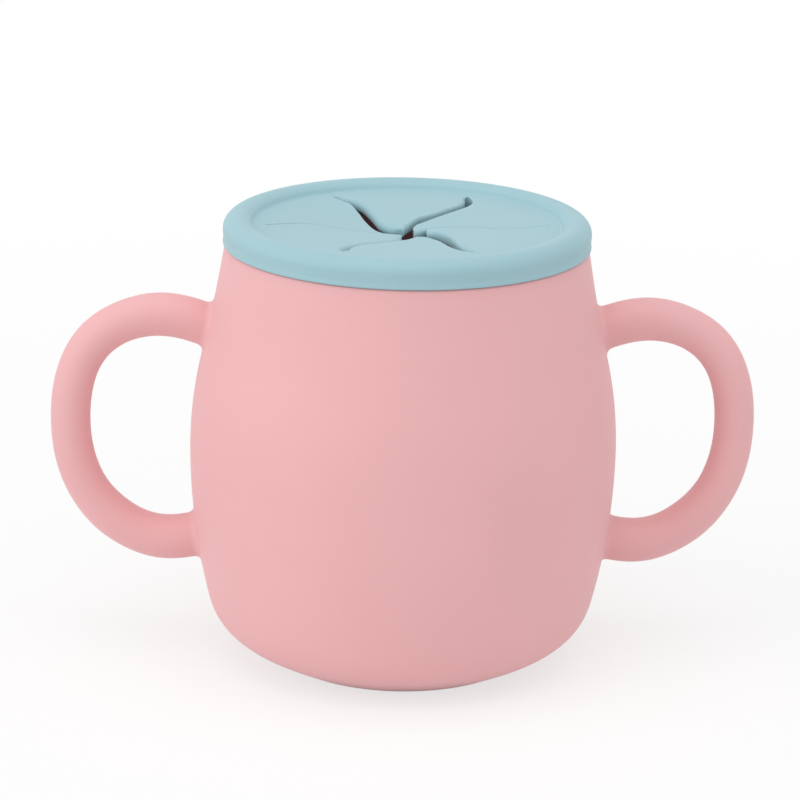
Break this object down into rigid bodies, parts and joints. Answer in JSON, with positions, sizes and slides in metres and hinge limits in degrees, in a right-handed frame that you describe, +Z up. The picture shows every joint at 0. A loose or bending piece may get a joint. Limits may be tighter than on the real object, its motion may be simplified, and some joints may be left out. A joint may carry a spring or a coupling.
{
  "type": "toddler training cup",
  "caption": "Rounded silicone toddler cup with two ring handles and a press-on snack lid with curved slit flaps.",
  "frame": {"origin": "on the cup's axis at the plane that the foot stands on", "axes": "+Z up along the cup's axis, +X out through the right handle, +Y away from the viewer"},
  "size_m": [0.1361, 0.082, 0.0867],
  "materials": {
    "cup_silicone": "matt moulded silicone, pale pink",
    "lid_silicone": "matt moulded silicone, pale blue"
  },
  "bodies": {
    "cup": {"cup_body": "cup_silicone"},
    "lid": {"snack_lid": "lid_silicone"},
    "lid_flap_1": {"lid_flap_1": "lid_silicone"},
    "lid_flap_2": {"lid_flap_2": "lid_silicone"},
    "lid_flap_3": {"lid_flap_3": "lid_silicone"},
    "lid_flap_4": {"lid_flap_4": "lid_silicone"},
    "lid_flap_5": {"lid_flap_5": "lid_silicone"},
    "lid_flap_6": {"lid_flap_6": "lid_silicone"}
  },
  "joints": [
    {"name": "lid_lift", "type": "slide", "parent": "cup", "child": "lid", "axis": [0, 0, 1], "range_m": [0, 0.03]},
    {"name": "flap_1_fold", "type": "hinge", "parent": "lid", "child": "lid_flap_1", "pos_m": [0.0199, 0.01244, 0.08394], "axis": [0.5299, -0.848, 0], "range_deg": [-35, 55], "stiffness_Nm_per_rad": 0.004},
    {"name": "flap_2_fold", "type": "hinge", "parent": "lid", "child": "lid_flap_2", "pos_m": [-0.00082, 0.02346, 0.08394], "axis": [0.9994, 0.0349, 0], "range_deg": [-35, 55], "stiffness_Nm_per_rad": 0.004},
    {"name": "flap_3_fold", "type": "hinge", "parent": "lid", "child": "lid_flap_3", "pos_m": [-0.02072, 0.01102, 0.08394], "axis": [0.4695, 0.8829, 0], "range_deg": [-35, 55], "stiffness_Nm_per_rad": 0.004},
    {"name": "flap_4_fold", "type": "hinge", "parent": "lid", "child": "lid_flap_4", "pos_m": [-0.0199, -0.01244, 0.08394], "axis": [-0.5299, 0.848, 0], "range_deg": [-35, 55], "stiffness_Nm_per_rad": 0.004},
    {"name": "flap_5_fold", "type": "hinge", "parent": "lid", "child": "lid_flap_5", "pos_m": [0.00082, -0.02346, 0.08394], "axis": [-0.9994, -0.0349, 0], "range_deg": [-35, 55], "stiffness_Nm_per_rad": 0.004},
    {"name": "flap_6_fold", "type": "hinge", "parent": "lid", "child": "lid_flap_6", "pos_m": [0.02072, -0.01102, 0.08394], "axis": [-0.4695, -0.8829, 0], "range_deg": [-35, 55], "stiffness_Nm_per_rad": 0.004}
  ]
}
